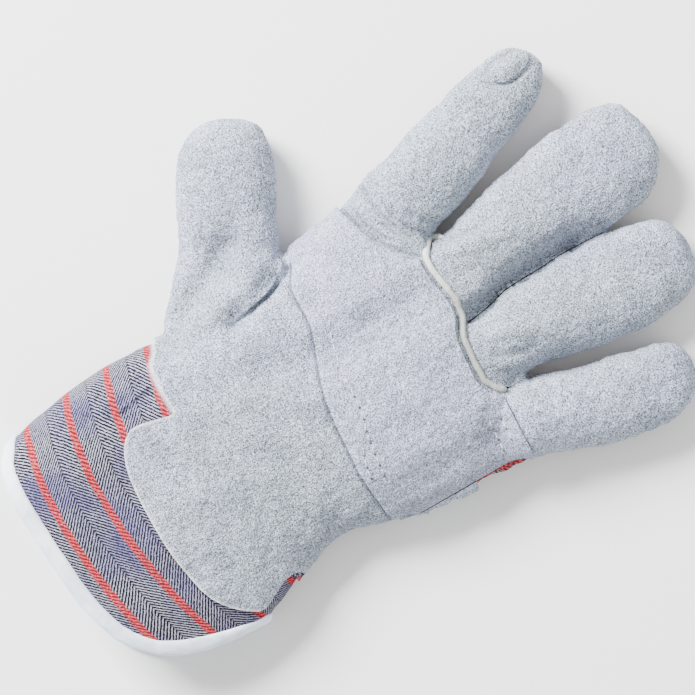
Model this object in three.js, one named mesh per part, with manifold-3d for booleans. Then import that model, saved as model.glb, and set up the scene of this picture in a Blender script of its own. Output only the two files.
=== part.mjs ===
// A rigger's work glove for the left hand, lying on its back with the palm up.
// Millimetres. +Z is up, +Y points to the fingertips and +X to the little finger.
// The glove is drawn from the middle of its wrist line, and then moved so that it stands centred on the floor.
import * as THREE from 'three';
import { mergeVertices } from 'three/addons/utils/BufferGeometryUtils.js';
import Module from 'manifold-3d';

const wasm = await Module();
wasm.setup();

// Walls and clearances
const LEATHER_WALL = 1.4;
const CANVAS_WALL = 1.3;
const BINDING_WALL = 1.2;
const GAP = 0.3;
const CUFF_GAP = 0.6;
const BINDING_GAP = 0.6;

// The hand, from the wrist line to the finger roots, and the cuff below it
const PALM_WIDTH = 114;
const PALM_LENGTH = 110;
const PALM_HEIGHT = 31;
const CUFF_LENGTH = 71;
const CUFF_HEIGHT = 30;
const CUFF_TUCK = 12;
const SEAM_HEIGHT = 10;

// The fingers: length from the root, width across the palm side, and the angle off +Y towards the little finger
const FINGER_HEIGHT = 23;
const THUMB_HEIGHT = 25;
const THUMB = { root: [-0.263, 0.3], length: 70, width: 37, height: THUMB_HEIGHT, splay: -62.5 };
const INDEX = { root: [-0.246, 0.836], length: 88, width: 32, height: FINGER_HEIGHT, splay: -17.2 };
const MIDDLE = { root: [0.013, 0.927], length: 97, width: 41, height: FINGER_HEIGHT, splay: -6.5 };
const RING = { root: [0.237, 0.909], length: 90, width: 37, height: FINGER_HEIGHT, splay: 4.5 };
const LITTLE = { root: [0.5, 0.918], length: 70, width: 32, height: FINGER_HEIGHT, splay: 12 };

// Trim
const WELT_WIDTH = 2.8;
const WELT_RISE = 1.4;
const WELT_CREST = 0.6 * WELT_WIDTH;
const BINDING_WIDTH = 5.5;
const FINGER_SLIT = 0.6;
const LIP_WALL = 1;

// Fineness of the solids
const BODY_SIDES = { over: 18, under: 12 };
const FINGER_SIDES = { over: 8, under: 6 };
const CUFF_SIDES = 40;
const WELT_STEPS = 16;
const MEASURE_STEPS = 720;
const CUFF_CROWDING = 0.4;

// Roundness of a section over and under the seam: 2 is an ellipse, and more is squarer
const BOW_OVER = 2.3;
const BOW_UNDER = 2.8;

const LAYER = LEATHER_WALL + GAP;
const FADE = 10;
const SKY = 2 * PALM_HEIGHT;
const LEAST = 0.3;
const SAG = 0.8;

function table(columns, rows) {
  const names = columns.split(' ');
  return rows.map((row) => Object.fromEntries(names.map((name, i) => [name, row[i]])));
}

// Palm and cuff sections. along: share of the palm length above the wrist line, or of the cuff length below it.
// left and right: shares of the palm width. top: share of the palm or cuff height.
// layer: 1 where another layer covers the hand's shell, -1 where the shell is gone and the cuff is what shows.
const BODY = table('along left right top layer', [
  [-1.0, 0.235, 0.685, 0.95, -1],
  [-0.86, 0.255, 0.69, 0.96, -1],
  [-0.7, 0.28, 0.7, 0.97, -1],
  [-0.49, 0.3, 0.695, 1.0, -1],
  [-0.35, 0.311, 0.68, 1.02, -1],
  [-0.21, 0.316, 0.662, 1.03, -1],
  [-0.07, 0.312, 0.624, 1.02, -1],
  [0.06, 0.307, 0.59, 0.96, 0],
  [0.18, 0.31, 0.547, 0.95, 0],
  [0.27, 0.318, 0.539, 0.97, 0],
  [0.37, 0.33, 0.578, 1.0, 0.5],
  [0.455, 0.345, 0.6, 1.02, 1],
  [0.59, 0.362, 0.616, 1.02, 1],
  [0.69, 0.37, 0.624, 1.0, 1],
  [0.78, 0.375, 0.622, 0.97, 1],
  [0.87, 0.39, 0.625, 0.9, 1],
  [0.96, 0.38, 0.61, 0.78, 1],
]);

// Finger sections. along: share of the length. left and right of the middle line: shares of the width.
// top and bottom: shares of the height.
const FINGER_COLUMNS = 'along left right top bottom';
const THUMB_ROWS = table(FINGER_COLUMNS, [
  [-0.25, 0.72, 0.5, 0.95, 0.15],
  [0.0, 0.68, 0.58, 1.06, 0.07],
  [0.15, 0.59, 0.56, 1.06, 0.02],
  [0.3, 0.53, 0.49, 1.0, 0],
  [0.5, 0.525, 0.475, 0.97, 0],
  [0.7, 0.51, 0.485, 0.95, 0],
  [0.82, 0.475, 0.45, 0.92, 0],
  [0.9, 0.4, 0.4, 0.86, 0.02],
  [0.96, 0.29, 0.32, 0.76, 0.08],
  [0.99, 0.16, 0.2, 0.62, 0.2],
]);
const INDEX_ROWS = table(FINGER_COLUMNS, [
  [-0.12, 0.46, 0.44, 0.85, 0.1],
  [0.1, 0.525, 0.5, 1.1, 0.06],
  [0.25, 0.513, 0.485, 1.04, 0.01],
  [0.42, 0.51, 0.47, 0.98, 0],
  [0.6, 0.488, 0.41, 0.94, 0],
  [0.78, 0.462, 0.362, 0.88, 0],
  [0.87, 0.413, 0.316, 0.83, 0.02],
  [0.93, 0.35, 0.24, 0.76, 0.07],
  [0.97, 0.245, 0.165, 0.68, 0.15],
  [0.99, 0.12, 0.1, 0.58, 0.25],
]);
const MIDDLE_ROWS = table(FINGER_COLUMNS, [
  [-0.12, 0.38, 0.4, 0.95, 0.1],
  [0.1, 0.39, 0.43, 1.08, 0.06],
  [0.22, 0.415, 0.42, 1.05, 0.01],
  [0.38, 0.48, 0.42, 1.0, 0],
  [0.55, 0.517, 0.44, 0.97, 0],
  [0.72, 0.53, 0.46, 0.95, 0],
  [0.84, 0.508, 0.44, 0.9, 0.01],
  [0.92, 0.457, 0.35, 0.82, 0.06],
  [0.97, 0.345, 0.2, 0.7, 0.15],
  [0.99, 0.2, 0.12, 0.58, 0.25],
]);
const RING_ROWS = table(FINGER_COLUMNS, [
  [-0.12, 0.38, 0.4, 0.95, 0.1],
  [0.1, 0.4, 0.38, 1.1, 0.06],
  [0.22, 0.46, 0.39, 1.1, 0.01],
  [0.38, 0.52, 0.465, 1.05, 0],
  [0.55, 0.53, 0.508, 1.02, 0],
  [0.72, 0.49, 0.512, 0.98, 0],
  [0.84, 0.458, 0.465, 0.92, 0.01],
  [0.92, 0.395, 0.4, 0.84, 0.06],
  [0.97, 0.26, 0.275, 0.7, 0.15],
  [0.99, 0.14, 0.15, 0.58, 0.25],
]);
const LITTLE_ROWS = table(FINGER_COLUMNS, [
  [-0.15, 0.38, 0.4, 0.78, 0.12],
  [0.1, 0.46, 0.462, 1.08, 0.06],
  [0.25, 0.42, 0.51, 1.03, 0.01],
  [0.42, 0.38, 0.565, 0.98, 0],
  [0.6, 0.385, 0.58, 0.95, 0],
  [0.76, 0.365, 0.55, 0.9, 0],
  [0.86, 0.35, 0.485, 0.84, 0.02],
  [0.93, 0.31, 0.375, 0.76, 0.07],
  [0.97, 0.22, 0.24, 0.68, 0.15],
  [0.99, 0.12, 0.13, 0.58, 0.25],
]);
const FINGERS = [
  [THUMB, THUMB_ROWS],
  [INDEX, INDEX_ROWS],
  [MIDDLE, MIDDLE_ROWS],
  [RING, RING_ROWS],
  [LITTLE, LITTLE_ROWS],
];

// Folds and dents of the palm side, each along a line from x0, y0 to x1, y1.
// x and reach: shares of the palm width. y: share of the palm length. rise: share of the palm height.
const FOLDS = table('x0 y0 x1 y1 reach rise', [
  [0.018, 0.8, -0.018, 0.31, 0.08, -0.1],
  [-0.44, 0.373, -0.31, 0.1, 0.06, -0.12],
  [-0.29, 0.527, -0.22, 0.29, 0.035, -0.09],
  [-0.335, 0.455, -0.29, 0.255, 0.035, 0.05],
  [-0.4, 0.864, -0.21, 0.845, 0.04, -0.06],
  [-0.088, 0.964, -0.044, 1.2, 0.035, 0.05],
  [0.22, 1.036, 0.28, 1.18, 0.045, 0.05],
  [0.14, 0.4, 0.0, 0.18, 0.05, 0.05],
  [0.5, 0.836, 0.49, 0.436, 0.05, -0.05],
  [0.07, 1.11, 0.08, 1.436, 0.045, -0.08],
  [-0.175, -0.08, -0.155, -0.2, 0.03, -0.04],
]);

// The hem's height around the cuff. turn: degrees from the little-finger side, mirrored over and under the seam.
// drop: share of the cuff length below the wrist line.
const HEM = table('turn drop', [
  [0, 0.2],
  [4, 0.203],
  [8, 0.222],
  [12, 0.262],
  [16, 0.325],
  [21, 0.43],
  [27, 0.56],
  [35, 0.715],
  [46, 0.855],
  [60, 0.94],
  [80, 0.985],
  [105, 1.0],
  [130, 0.985],
  [144, 0.965],
  [155, 0.94],
  [180, 0.9],
]);

// Outlines in plan, as shares of the palm's width and length
const WELT_LINE = [
  [-0.147, 1.06],
  [-0.145, 0.99],
  [-0.096, 0.939],
  [-0.035, 0.938],
  [0.053, 0.953],
  [0.114, 0.947],
  [0.167, 0.92],
  [0.263, 0.905],
  [0.342, 0.907],
  [0.386, 0.941],
  [0.395, 1.03],
];
const TWO_FINGER_SIDES = [
  [0.425, 1.18],
  [0.465, 1.364],
  [0.474, 1.545],
  [0.49, 1.9],
  [-0.316, 1.9],
  [-0.298, 1.564],
  [-0.254, 1.364],
  [-0.195, 1.2],
  [-0.158, 1.1],
];
const FRONT = [
  [0.594, 0.41],
  [0.594, 0.923],
  [0.84, 0.936],
  [0.96, 1.9],
  [-0.96, 1.9],
  [-0.96, 0.09],
  [-0.53, 0.03],
  [-0.316, 0.023],
  [-0.263, 0.0],
  [-0.237, -0.027],
  [-0.175, -0.036],
  [-0.07, -0.033],
  [-0.08, -0.09],
  [-0.088, -0.155],
  [-0.07, -0.2],
  [-0.035, -0.243],
  [0.07, -0.27],
  [0.307, -0.273],
  [0.395, -0.264],
  [0.482, -0.245],
  [0.544, -0.21],
  [0.588, -0.164],
  [0.625, -0.11],
  [0.596, -0.055],
  [0.56, 0.02],
  [0.575, 0.075],
  [0.7, 0.11],
  [0.7, 0.4],
];
const PATCH = [
  [0.592, 0.41],
  [0.592, 0.918],
  [0.404, 0.93],
  [0.386, 0.941],
  [0.342, 0.907],
  [0.263, 0.905],
  [0.167, 0.92],
  [0.114, 0.947],
  [0.053, 0.953],
  [-0.035, 0.938],
  [-0.096, 0.939],
  [-0.11, 0.909],
  [-0.132, 0.864],
  [-0.193, 0.818],
  [-0.29, 0.79],
  [-0.37, 0.768],
  [-0.44, 0.768],
  [-0.412, 0.582],
  [-0.36, 0.523],
  [-0.316, 0.514],
  [-0.263, 0.495],
  [-0.193, 0.5],
  [-0.105, 0.5],
  [-0.044, 0.482],
  [0.0, 0.464],
  [0.07, 0.436],
  [0.132, 0.418],
  [0.22, 0.405],
  [0.307, 0.4],
  [0.395, 0.391],
];
const STRAP = [
  [0.8, 0.414],
  [0.8, 0.745],
  [-0.44, 0.745],
  [-0.412, 0.582],
  [-0.351, 0.518],
  [-0.3, 0.414],
];
const THUMB_ZONE = [
  [-0.36, 0.54],
  [-0.44, 0.72],
  [-1.0, 0.72],
  [-1.0, 0.1],
  [-0.34, -0.03],
  [-0.29, 0.18],
  [-0.29, 0.36],
  [-0.32, 0.5],
];
const BELOW_BACK = [
  [-2, -2],
  [2, -2],
  [2, 0.036],
  [-2, 0.036],
];

// The folded lip on the index finger. across: share of its width, from its middle line. along: share of its length.
const LIP = table('across along', [
  [0.051, 0.91],
  [0.082, 0.99],
  [-0.166, 1.005],
  [-0.394, 0.913],
  [-0.374, 0.827],
  [-0.282, 0.782],
  [-0.116, 0.823],
  [-0.03, 0.885],
]);

const mix = THREE.MathUtils.lerp;
const onPalm = ([x, y]) => new THREE.Vector2(x * PALM_WIDTH, y * PALM_LENGTH);
const splayOf = (finger) => THREE.MathUtils.degToRad(finger.splay);

function onFinger(finger, { across, along }) {
  const place = new THREE.Vector2(across * finger.width, along * finger.length);
  return place.rotateAround(new THREE.Vector2(), -splayOf(finger)).add(onPalm(finger.root));
}

// Linear reading of a table's columns at a place in its first column
function read(rows, key, place) {
  const last = rows.length - 1;
  const next = THREE.MathUtils.clamp(rows.findIndex((row) => row[key] > place), 1, last);
  const after = place >= rows[last][key] ? last : next;
  const [low, high] = [rows[after - 1], rows[after]];
  const share = THREE.MathUtils.clamp((place - low[key]) / (high[key] - low[key]), 0, 1);
  return Object.fromEntries(Object.keys(low).map((name) => [name, mix(low[name], high[name], share)]));
}

// How far the folds lift or press the palm side at a place in plan
function foldLift(x, y) {
  let lift = 0;
  for (const fold of FOLDS) {
    const start = onPalm([fold.x0, fold.y0]);
    const run = onPalm([fold.x1, fold.y1]).sub(start);
    const share = THREE.MathUtils.clamp(new THREE.Vector2(x, y).sub(start).dot(run) / run.lengthSq(), 0, 1);
    const away = Math.hypot(x - start.x - share * run.x, y - start.y - share * run.y);
    lift += fold.rise * PALM_HEIGHT * Math.exp(-((away / (fold.reach * PALM_WIDTH)) ** 2));
  }
  return lift;
}

// One point of a soft section at an angle around it. The section bulges over the seam, and sags under it until it
// is flat along its bottom. offset moves its skin outwards, and the skin with the offset rest lies on the floor.
function skinPoint(section, turn, offset, rest = 0) {
  const [c, s] = [Math.cos(turn), Math.sin(turn)];
  const power = 2 / (s < 0 ? BOW_UNDER : BOW_OVER);
  const half = c < 0 ? section.left : section.right;
  const rise = s < 0 ? SEAM_HEIGHT - section.bottom + SAG : section.top - SEAM_HEIGHT;
  const across = Math.sign(c) * Math.abs(c) ** power;
  const up = Math.sign(s) * Math.abs(s) ** power;
  const place = (by) => {
    const out = across * Math.max(half + by, LEAST);
    return [section.x + section.acrossX * out, section.y + section.acrossY * out];
  };
  const [x, y] = place(offset);
  const lift = foldLift(...place(0)) * THREE.MathUtils.smoothstep(up * rise, 0, FADE);
  const z = SEAM_HEIGHT + up * Math.max(rise + offset, LEAST) + lift;
  const slide = section.stretch * offset;
  const least = Math.max(Math.max(section.bottom, rest) - offset, 0);
  return new THREE.Vector3(x - section.acrossY * slide, y + section.acrossX * slide, Math.max(z, least));
}

// Angles around a section: even over and under the seam, or crowded towards the two sides
const halfTurn = (count, from) => Array.from({ length: count }, (_, i) => from + (i / count) * Math.PI);
const turns = ({ over, under }) => [...halfTurn(over, 0), ...halfTurn(under, Math.PI)];
const crowded = (count, crowding) =>
  turns({ over: count / 2, under: count / 2 }).map((turn) => turn - crowding * Math.sin(2 * turn));

// The body's section at a height along Y, and the heights of the table's own rows
const BODY_HEIGHTS = BODY.map(({ along }) => along * (along < 0 ? CUFF_LENGTH : PALM_LENGTH));

function bodySection(y) {
  const row = read(BODY, 'along', y < 0 ? y / CUFF_LENGTH : y / PALM_LENGTH);
  const inset = row.layer * LAYER;
  const tall = mix(CUFF_HEIGHT, PALM_HEIGHT, THREE.MathUtils.smoothstep(y, -CUFF_TUCK, CUFF_TUCK));
  return {
    x: 0,
    y,
    acrossX: 1,
    acrossY: 0,
    left: row.left * PALM_WIDTH - inset,
    right: row.right * PALM_WIDTH - inset,
    top: row.top * tall - inset,
    bottom: inset,
    stretch: row.along === BODY[BODY.length - 1].along ? 1 : 0,
  };
}

function fingerSection(finger, row) {
  const splay = splayOf(finger);
  const root = onPalm(finger.root);
  const reach = row.along * finger.length;
  return {
    x: root.x + Math.sin(splay) * reach,
    y: root.y + Math.cos(splay) * reach,
    acrossX: Math.cos(splay),
    acrossY: -Math.sin(splay),
    left: row.left * finger.width,
    right: row.right * finger.width,
    top: row.top * finger.height,
    bottom: row.bottom * finger.height,
    stretch: row.along < 0 ? -1 : row.along,
  };
}

// A solid from a closed three.js geometry
function solidFrom(geometry) {
  geometry.deleteAttribute('normal');
  geometry.deleteAttribute('uv');
  const merged = mergeVertices(geometry, 1e-5);
  return new wasm.Manifold(
    new wasm.Mesh({
      numProp: 3,
      vertProperties: new Float32Array(merged.attributes.position.array),
      triVerts: new Uint32Array(merged.index.array),
    }),
  );
}

// Rings of points, one after another along the form, as a geometry. Rings are closed by a point at either end,
// or the last ring joins the first where the form runs round.
function ringGeometry(rings, ends) {
  const sides = rings[0].length;
  const points = rings.flat();
  const faces = [];
  const spans = ends ? rings.length - 1 : rings.length;
  for (let r = 0; r < spans; r++) {
    for (let i = 0; i < sides; i++) {
      const [a, b] = [r * sides + i, r * sides + ((i + 1) % sides)];
      const above = ((r + 1) % rings.length) * sides;
      const [c, d] = [above + i, above + ((i + 1) % sides)];
      faces.push(a, c, b, b, c, d);
    }
  }
  if (ends) {
    const last = (rings.length - 1) * sides;
    points.push(...ends);
    for (let i = 0; i < sides; i++) {
      const next = (i + 1) % sides;
      faces.push(points.length - 2, i, next);
      faces.push(points.length - 1, last + next, last + i);
    }
  }
  const geometry = new THREE.BufferGeometry();
  geometry.setAttribute('position', new THREE.Float32BufferAttribute(points.flatMap((p) => p.toArray()), 3));
  geometry.setIndex(faces);
  return geometry;
}

const middleOf = (ring) => ring.reduce((sum, p) => sum.add(p), new THREE.Vector3()).divideScalar(ring.length);

// The hollow glove's solid form, with its skin moved out by offset
function bodyForm(offset) {
  const rings = BODY_HEIGHTS.filter((y) => y > -CUFF_LENGTH / 2).map((y) =>
    turns(BODY_SIDES).map((turn) => skinPoint(bodySection(y), turn, offset)),
  );
  return solidFrom(ringGeometry(rings, [middleOf(rings[0]), middleOf(rings[rings.length - 1])]));
}

function fingerForm([finger, rows], offset) {
  const rings = rows.map((row) => {
    const section = fingerSection(finger, row);
    return turns(FINGER_SIDES).map((turn) => skinPoint(section, turn, offset));
  });
  const { x, y, acrossX, acrossY } = fingerSection(finger, { along: 1 });
  const tip = new THREE.Vector3(x - acrossY * offset, y + acrossX * offset, SEAM_HEIGHT);
  return solidFrom(ringGeometry(rings, [middleOf(rings[0]), tip]));
}

// An outline moved outwards by a distance. The outline runs anticlockwise.
function grow(outline, by) {
  const count = outline.length;
  const outward = (a, b) => new THREE.Vector2(b.y - a.y, a.x - b.x).normalize();
  return outline.map((point, i) => {
    const before = outward(outline[(i + count - 1) % count], point);
    const after = outward(point, outline[(i + 1) % count]);
    const bisector = before.clone().add(after).normalize();
    return point.clone().addScaledVector(bisector, by / Math.max(bisector.dot(after), 0.5));
  });
}

function prism(outline, low, high = SKY) {
  const geometry = new THREE.ExtrudeGeometry(new THREE.Shape(outline), { depth: high - low, bevelEnabled: false });
  return solidFrom(geometry.translate(0, 0, low));
}

// A strip of one width along a line, as an outline
function ribbon(line, width) {
  const side = (sign) =>
    line.map((point, i) => {
      const run = line[Math.min(i + 1, line.length - 1)].clone().sub(line[Math.max(i - 1, 0)]).normalize();
      return new THREE.Vector2(point.x + (sign * run.y * width) / 2, point.y - (sign * run.x * width) / 2);
    });
  return [...side(1), ...side(-1).reverse()];
}

const curve = (points, count) => new THREE.SplineCurve(points.map(onPalm)).getPoints(count);

// The line where the middle and ring fingers press together, from their root to where they part
function slitLine() {
  const shares = [0.06, 0.15, 0.3, 0.45, 0.6, 0.75];
  return shares.map((along) => {
    const ring = fingerSection(RING, { along });
    const middle = fingerSection(MIDDLE, { along });
    const [near, far] = [read(MIDDLE_ROWS, 'along', along).right, read(RING_ROWS, 'along', along).left];
    const share = (near * MIDDLE.width) / (near * MIDDLE.width + far * RING.width);
    return new THREE.Vector2(mix(middle.x, ring.x, share), mix(middle.y, ring.y, share));
  });
}

function handForm(offset) {
  const parts = [bodyForm(offset), ...FINGERS.map((finger) => fingerForm(finger, offset))];
  const whole = parts.reduce((sum, part) => sum.add(part));
  return whole.subtract(prism(ribbon(slitLine(), FINGER_SLIT - 2 * Math.min(offset, 0)), -SKY));
}

// Plan zones, each moved outwards by a distance and cut off at a height
const aboveSeam = (points, by = 0) => prism(grow(points, by), SEAM_HEIGHT + GAP / 2 - by);
const zone = (outline, by = 0) => prism(grow(outline.map(onPalm), by), -SKY);

const skin = handForm(0);
const shell = skin.subtract(handForm(-LEATHER_WALL));
const overSkin = handForm(GAP);
const overLayer = handForm(LAYER);

const weltLine = curve(WELT_LINE, WELT_STEPS);
const twoFingers = [...weltLine, ...TWO_FINGER_SIDES.map(onPalm)];
const twoFingerZone = (by) => prism(grow(twoFingers, by), -SKY);
const weltStrip = (width) => prism(ribbon(weltLine, width), SEAM_HEIGHT + GAP / 2);
const seamRoom = WELT_WIDTH / 2 + GAP;

const frontEdge = FRONT.map(onPalm);
const front = shell.intersect(aboveSeam(frontEdge));
const back = shell.subtract(zone(BELOW_BACK)).subtract(aboveSeam(frontEdge, GAP));

function weltSolid() {
  const wide = handForm(WELT_RISE / 2).intersect(weltStrip(WELT_WIDTH));
  const high = handForm(WELT_RISE).intersect(weltStrip(WELT_CREST));
  return wide.add(high).subtract(handForm(-LEATHER_WALL));
}

const patch = overLayer.subtract(overSkin).intersect(aboveSeam(PATCH.map(onPalm)));
const strap = overLayer.subtract(overSkin).intersect(zone(STRAP)).subtract(aboveSeam(frontEdge, GAP));
const lipEdge = LIP.map((place) => onFinger(INDEX, place));
const lip = handForm(GAP + LIP_WALL).subtract(overSkin).intersect(aboveSeam(lipEdge));

// The cuff runs from inside the hand's shell down to its hem, and its wall is open at the little-finger side
const cuffTurns = crowded(CUFF_SIDES, CUFF_CROWDING);
const cuffOffset = -(LEATHER_WALL + CUFF_GAP);
const bindingOffset = cuffOffset + BINDING_GAP + BINDING_WALL;
const clothPoint = (y, turn, offset) => skinPoint(bodySection(y), turn, offset, bindingOffset);
const hemDrop = (turn) => {
  const degrees = THREE.MathUtils.radToDeg(turn);
  return -read(HEM, 'turn', Math.abs(degrees > 180 ? degrees - 360 : degrees)).drop * CUFF_LENGTH;
};
const hemEdge = cuffTurns.map((turn) => new THREE.Vector2(turn, hemDrop(turn)));

// Lengths around the cuff, measured on its section at mid height, and the angle at such a length
const measure = (() => {
  const around = crowded(MEASURE_STEPS, 0).map((turn) => clothPoint(-CUFF_LENGTH / 2, turn, cuffOffset));
  const lengths = [0];
  around.forEach((point, i) => lengths.push(lengths[i] + point.distanceTo(around[(i + 1) % around.length])));
  return lengths;
})();
const girth = measure[measure.length - 1];
const lengthAt = (turn) => {
  const place = (turn / (2 * Math.PI)) * MEASURE_STEPS;
  const low = Math.floor(place);
  return mix(measure[low], measure[Math.min(low + 1, MEASURE_STEPS)], place - low);
};
const turnAt = (length) => {
  const wrapped = THREE.MathUtils.euclideanModulo(length, girth);
  const next = Math.max(measure.findIndex((value) => value > wrapped), 1);
  const share = (wrapped - measure[next - 1]) / (measure[next] - measure[next - 1]);
  return ((next - 1 + share) / MEASURE_STEPS) * 2 * Math.PI;
};

// A point on the cuff's cloth, a distance in from the hem and square to it
function fromHem(index, inwards, offset) {
  const count = hemEdge.length;
  const at = (i) => {
    const edge = hemEdge[(i + count) % count];
    const laps = Math.floor(i / count);
    return new THREE.Vector2(lengthAt(edge.x) + laps * girth, edge.y);
  };
  const run = at(index + 1).sub(at(index - 1)).normalize();
  const place = at(index).add(new THREE.Vector2(-run.y, run.x).multiplyScalar(inwards));
  return clothPoint(place.y, turnAt(place.x), offset);
}

function cuffSolid() {
  const heights = BODY_HEIGHTS.filter((y) => y < CUFF_TUCK && y > -CUFF_LENGTH).reverse();
  const shares = [CUFF_TUCK, ...heights].map((y) => (CUFF_TUCK - y) / (CUFF_TUCK + CUFF_LENGTH));
  const wall = (offset) => {
    const edge = hemEdge.map((_, i) => fromHem(i, BINDING_WALL + GAP, offset));
    const rows = shares.map((share) =>
      edge.map((point, i) => clothPoint(mix(CUFF_TUCK, point.y, share), cuffTurns[i], offset)),
    );
    return [...rows, edge];
  };
  const outer = wall(cuffOffset);
  const inner = wall(cuffOffset - CANVAS_WALL);
  return solidFrom(ringGeometry([...inner, ...outer.reverse()], null));
}

// The tape folded over the hem
function bindingSolid() {
  const outside = cuffOffset + BINDING_GAP;
  const inside = cuffOffset - CANVAS_WALL - BINDING_GAP;
  const middle = BINDING_WIDTH / 2;
  const profile = [
    [0, bindingOffset],
    [BINDING_WIDTH, bindingOffset],
    [BINDING_WIDTH, outside],
    [middle, outside],
    [BINDING_WALL, outside],
    [BINDING_WALL, inside],
    [middle, inside],
    [BINDING_WIDTH, inside],
    [BINDING_WIDTH, inside - BINDING_WALL],
    [0, inside - BINDING_WALL],
  ];
  const rings = profile.map(([inwards, offset]) => hemEdge.map((_, i) => fromHem(i, inwards, offset)));
  return solidFrom(ringGeometry(rings, null));
}

const LEATHER = { color: 0xc8cbd4, roughness: 0.9 };
const PATCH_LEATHER = { color: 0xcdd0dc, roughness: 0.9 };
const CANVAS = { color: 0x7c7a96, roughness: 0.95 };
const TAPE = { color: 0xdee4e8, roughness: 0.9 };
const PIPING = { color: 0xeeeadb, roughness: 0.8 };

const weltRoom = prism(ribbon(weltLine, WELT_WIDTH + 2 * GAP), -SKY);
const pieces = {
  palm_panel: [front.subtract(twoFingerZone(seamRoom)), LEATHER],
  two_finger_panel: [front.intersect(twoFingerZone(-seamRoom)), LEATHER],
  finger_welt: [weltSolid(), PIPING],
  palm_patch: [patch.subtract(weltRoom), PATCH_LEATHER],
  index_tip: [lip, LEATHER],
  back_panel: [back.subtract(zone(THUMB_ZONE, GAP)), CANVAS],
  thumb_back: [back.intersect(zone(THUMB_ZONE)), LEATHER],
  knuckle_strap: [strap, LEATHER],
  cuff: [cuffSolid(), CANVAS],
  cuff_binding: [bindingSolid(), TAPE],
};

const glove = new THREE.Group();
for (const [name, [solid, look]] of Object.entries(pieces)) {
  const { vertProperties, triVerts } = solid.getMesh();
  const geometry = new THREE.BufferGeometry();
  geometry.setAttribute('position', new THREE.BufferAttribute(vertProperties, 3));
  geometry.setIndex(new THREE.BufferAttribute(triVerts, 1));
  geometry.computeVertexNormals();
  const mesh = new THREE.Mesh(geometry, new THREE.MeshStandardMaterial({ ...look, metalness: 0 }));
  mesh.name = name;
  glove.add(mesh);
}

// Centred over the floor
const bounds = new THREE.Box3().setFromObject(glove);
const centre = bounds.getCenter(new THREE.Vector3());
glove.position.set(-centre.x, -centre.y, -bounds.min.z);

export default glove;
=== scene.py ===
import math

import bmesh
import bpy
import numpy as np
from mathutils import Matrix, Vector
from mathutils.bvhtree import BVHTree
from mathutils.kdtree import KDTree


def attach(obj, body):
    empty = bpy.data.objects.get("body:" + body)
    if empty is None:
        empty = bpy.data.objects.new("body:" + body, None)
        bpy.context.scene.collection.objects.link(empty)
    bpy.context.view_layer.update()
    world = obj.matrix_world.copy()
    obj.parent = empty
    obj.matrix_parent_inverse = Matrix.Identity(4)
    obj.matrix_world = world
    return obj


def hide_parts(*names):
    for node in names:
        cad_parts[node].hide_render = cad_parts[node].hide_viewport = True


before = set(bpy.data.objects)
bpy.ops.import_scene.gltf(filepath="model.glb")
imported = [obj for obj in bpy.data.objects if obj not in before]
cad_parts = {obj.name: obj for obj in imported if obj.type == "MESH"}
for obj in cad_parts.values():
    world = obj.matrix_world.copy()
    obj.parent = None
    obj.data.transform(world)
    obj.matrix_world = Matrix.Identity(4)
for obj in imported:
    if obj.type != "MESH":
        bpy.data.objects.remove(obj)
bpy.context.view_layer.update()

# The glove is drawn in millimetres from the middle of its wrist line, with the same named sizes as its solids.
# +Y points to the fingertips, +X to the little finger and +Z out of the palm.
LEATHER_WALL = 1.4
CANVAS_WALL = 1.3
BINDING_WALL = 1.2
GAP = 0.3
CUFF_GAP = 0.6
BINDING_GAP = 0.6
PALM_WIDTH = 114
PALM_LENGTH = 110
PALM_HEIGHT = 31
CUFF_LENGTH = 71
CUFF_HEIGHT = 30
CUFF_TUCK = 12
SEAM_HEIGHT = 10
FINGER_HEIGHT = 23
THUMB_HEIGHT = 25
WELT_WIDTH = 2.8
BINDING_WIDTH = 5.5
BOW_OVER = 2.3
BOW_UNDER = 2.8
LAYER = LEATHER_WALL + GAP
FADE = 10
LEAST = 0.3
SAG = 0.8
WRIST = 70
CENTRE = (4.65, -63.69)

# Fineness of the dressed skins
FINE = 0.65
COARSE = 1.7
SIDES = 96
AROUND = 420
SCRAP = 60

THUMB = dict(root=(-0.263, 0.3), length=70, width=37, height=THUMB_HEIGHT, splay=-62.5)
INDEX = dict(root=(-0.246, 0.836), length=88, width=32, height=FINGER_HEIGHT, splay=-17.2)
MIDDLE = dict(root=(0.013, 0.927), length=97, width=41, height=FINGER_HEIGHT, splay=-6.5)
RING = dict(root=(0.237, 0.909), length=90, width=37, height=FINGER_HEIGHT, splay=4.5)
LITTLE = dict(root=(0.5, 0.918), length=70, width=32, height=FINGER_HEIGHT, splay=12)


def table(columns, rows):
    return {name: np.array(column, float) for name, column in zip(columns.split(), zip(*rows))}


# Palm and cuff sections. along: share of the palm length above the wrist line, or of the cuff length below it.
BODY = table("along left right top layer", [
    (-1.0, 0.235, 0.685, 0.95, -1),
    (-0.86, 0.255, 0.69, 0.96, -1),
    (-0.7, 0.28, 0.7, 0.97, -1),
    (-0.49, 0.3, 0.695, 1.0, -1),
    (-0.35, 0.311, 0.68, 1.02, -1),
    (-0.21, 0.316, 0.662, 1.03, -1),
    (-0.07, 0.312, 0.624, 1.02, -1),
    (0.06, 0.307, 0.59, 0.96, 0),
    (0.18, 0.31, 0.547, 0.95, 0),
    (0.27, 0.318, 0.539, 0.97, 0),
    (0.37, 0.33, 0.578, 1.0, 0.5),
    (0.455, 0.345, 0.6, 1.02, 1),
    (0.59, 0.362, 0.616, 1.02, 1),
    (0.69, 0.37, 0.624, 1.0, 1),
    (0.78, 0.375, 0.622, 0.97, 1),
    (0.87, 0.39, 0.625, 0.9, 1),
    (0.96, 0.38, 0.61, 0.78, 1),
])

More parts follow.
